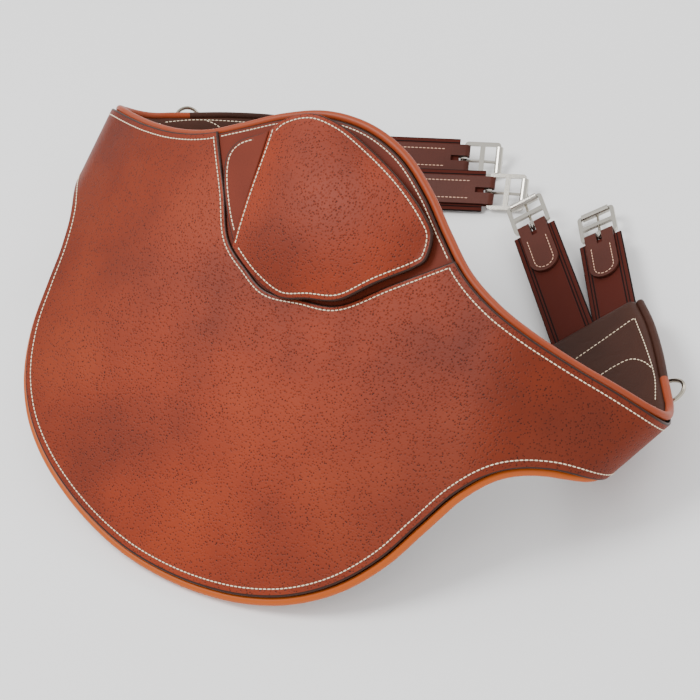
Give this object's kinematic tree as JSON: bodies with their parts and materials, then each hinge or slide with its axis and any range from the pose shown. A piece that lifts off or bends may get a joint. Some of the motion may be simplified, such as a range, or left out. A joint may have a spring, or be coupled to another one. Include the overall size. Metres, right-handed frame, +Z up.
{
  "type": "belly guard girth",
  "caption": "Padded leather belly-guard girth for a horse, with a rounded stud-guard bib, a flap over a centre ring, and two elastic roller-buckle straps on each arm.",
  "frame": {"origin": "middle of the bounding box, on the ground it rests on", "axes": "+Z up as it lies at rest; +X across the girth towards its right arm; +Y back towards the arm ends; the outer face looks up and to -Y"},
  "size_m": [0.6016, 0.5216, 0.2111],
  "materials": {
    "face_leather": "pebbled red-brown leather, low sheen",
    "smooth_leather": "smooth red-brown leather",
    "bead_leather": "smooth orange-brown rolled edge",
    "lining_leather": "soft dark brown padded leather",
    "chape_leather": "dark brown strap leather, stitched",
    "tan_leather": "tan leather",
    "elastic_web": "woven elastic webbing with dark pinstripes",
    "foam": "closed-cell foam",
    "nickel": "polished nickel plate",
    "aged_steel": "worn nickel-plated steel wire"
  },
  "bodies": {
    "leather": {"outer_panel": "face_leather", "recess_base": "smooth_leather", "foam_core": "foam", "inner_lining": "lining_leather", "top_edge_roll": "bead_leather", "bottom_edge_roll": "bead_leather", "flap_tab": "smooth_leather", "centre_ring_keeper": "tan_leather", "left_ring_keeper": "tan_leather", "right_ring_keeper": "tan_leather", "left_upper_elastic": "elastic_web", "left_lower_elastic": "elastic_web", "right_upper_elastic": "elastic_web", "right_lower_elastic": "elastic_web"},
    "flap": {"flap": "face_leather"},
    "centre_ring": {"centre_ring": "aged_steel"},
    "left_ring": {"left_ring": "aged_steel"},
    "right_ring": {"right_ring": "aged_steel"},
    "left_upper_chape": {"left_upper_chape": "chape_leather"},
    "left_upper_buckle": {"left_upper_buckle": "nickel"},
    "left_upper_roller": {"left_upper_roller": "nickel"},
    "left_upper_tongue": {"left_upper_tongue": "nickel"},
    "left_lower_chape": {"left_lower_chape": "chape_leather"},
    "left_lower_buckle": {"left_lower_buckle": "nickel"},
    "left_lower_roller": {"left_lower_roller": "nickel"},
    "left_lower_tongue": {"left_lower_tongue": "nickel"},
    "right_upper_chape": {"right_upper_chape": "chape_leather"},
    "right_upper_buckle": {"right_upper_buckle": "nickel"},
    "right_upper_roller": {"right_upper_roller": "nickel"},
    "right_upper_tongue": {"right_upper_tongue": "nickel"},
    "right_lower_chape": {"right_lower_chape": "chape_leather"},
    "right_lower_buckle": {"right_lower_buckle": "nickel"},
    "right_lower_roller": {"right_lower_roller": "nickel"},
    "right_lower_tongue": {"right_lower_tongue": "nickel"}
  },
  "joints": [
    {"name": "flap_hinge", "type": "hinge", "parent": "leather", "child": "flap", "pos_m": [-0.05759, -0.00661, 0.1763], "axis": [0.2158, -0.8372, -0.5026], "range_deg": [0, 100]},
    {"name": "centre_ring_hinge", "type": "hinge", "parent": "leather", "child": "centre_ring", "pos_m": [0.01321, 0.02069, 0.17964], "axis": [-0.9938, 0, 0.1108], "range_deg": [0, 15]},
    {"name": "left_ring_hinge", "type": "hinge", "parent": "leather", "child": "left_ring", "pos_m": [-0.27721, 0.09604, 0.07217], "axis": [-0.6617, -0.6167, 0.4263], "range_deg": [0, 140]},
    {"name": "right_ring_hinge", "type": "hinge", "parent": "leather", "child": "right_ring", "pos_m": [0.26634, 0.0774, 0.03514], "axis": [-0.7829, 0.5888, -0.2009], "range_deg": [0, 140]},
    {"name": "left_upper_stretch", "type": "slide", "parent": "leather", "child": "left_upper_chape", "axis": [0.8596, 0.5031, -0.0889], "range_m": [0, 0.012], "stiffness_N_per_m": 1500, "deforming": ["left_upper_elastic"]},
    {"name": "left_upper_buckle_hinge", "type": "hinge", "parent": "left_upper_chape", "child": "left_upper_buckle", "pos_m": [-0.06216, 0.23193, 0.01377], "axis": [0.4105, -0.7837, -0.4661], "range_deg": [-20, 20]},
    {"name": "left_upper_roller_spin", "type": "hinge", "parent": "left_upper_buckle", "child": "left_upper_roller", "pos_m": [-0.03551, 0.24752, 0.01102], "axis": [-0.4105, 0.7837, 0.4661], "continuous": true},
    {"name": "left_upper_tongue_hinge", "type": "hinge", "parent": "left_upper_buckle", "child": "left_upper_tongue", "pos_m": [-0.06216, 0.23193, 0.01377], "axis": [-0.4105, 0.7837, 0.4661], "range_deg": [0, 90]},
    {"name": "left_lower_stretch", "type": "slide", "parent": "leather", "child": "left_lower_chape", "axis": [0.8948, 0.4462, -0.0167], "range_m": [0, 0.012], "stiffness_N_per_m": 1500, "deforming": ["left_lower_elastic"]},
    {"name": "left_lower_buckle_hinge", "type": "hinge", "parent": "left_lower_chape", "child": "left_lower_buckle", "pos_m": [-0.01581, 0.21031, 0.01208], "axis": [0.391, -0.801, -0.4534], "range_deg": [-20, 20]},
    {"name": "left_lower_roller_spin", "type": "hinge", "parent": "left_lower_buckle", "child": "left_lower_roller", "pos_m": [0.01192, 0.22414, 0.01156], "axis": [-0.391, 0.801, 0.4534], "continuous": true},
    {"name": "left_lower_tongue_hinge", "type": "hinge", "parent": "left_lower_buckle", "child": "left_lower_tongue", "pos_m": [-0.01581, 0.21031, 0.01208], "axis": [-0.391, 0.801, 0.4534], "range_deg": [0, 90]},
    {"name": "right_upper_stretch", "type": "slide", "parent": "leather", "child": "right_upper_chape", "axis": [-0.6854, 0.7251, -0.0667], "range_m": [0, 0.012], "stiffness_N_per_m": 1500, "deforming": ["right_upper_elastic"]},
    {"name": "right_upper_buckle_hinge", "type": "hinge", "parent": "right_upper_chape", "child": "right_upper_buckle", "pos_m": [0.10453, 0.2121, 0.01287], "axis": [0.6767, 0.668, 0.3096], "range_deg": [-20, 20]},
    {"name": "right_upper_roller_spin", "type": "hinge", "parent": "right_upper_buckle", "child": "right_upper_roller", "pos_m": [0.08328, 0.23458, 0.0108], "axis": [-0.6767, -0.668, -0.3096], "continuous": true},
    {"name": "right_upper_tongue_hinge", "type": "hinge", "parent": "right_upper_buckle", "child": "right_upper_tongue", "pos_m": [0.10453, 0.2121, 0.01287], "axis": [-0.6767, -0.668, -0.3096], "range_deg": [0, 90]},
    {"name": "right_lower_stretch", "type": "slide", "parent": "leather", "child": "right_lower_chape", "axis": [-0.7851, 0.6177, 0.0441], "range_m": [0, 0.012], "stiffness_N_per_m": 1500, "deforming": ["right_lower_elastic"]},
    {"name": "right_lower_buckle_hinge", "type": "hinge", "parent": "right_lower_chape", "child": "right_lower_buckle", "pos_m": [0.05128, 0.18794, 0.01917], "axis": [0.6014, 0.7435, 0.2925], "range_deg": [-20, 20]},
    {"name": "right_lower_roller_spin", "type": "hinge", "parent": "right_lower_buckle", "child": "right_lower_roller", "pos_m": [0.02694, 0.20709, 0.02054], "axis": [-0.6014, -0.7435, -0.2925], "continuous": true},
    {"name": "right_lower_tongue_hinge", "type": "hinge", "parent": "right_lower_buckle", "child": "right_lower_tongue", "pos_m": [0.05128, 0.18794, 0.01917], "axis": [-0.6014, -0.7435, -0.2925], "range_deg": [0, 90]}
  ]
}
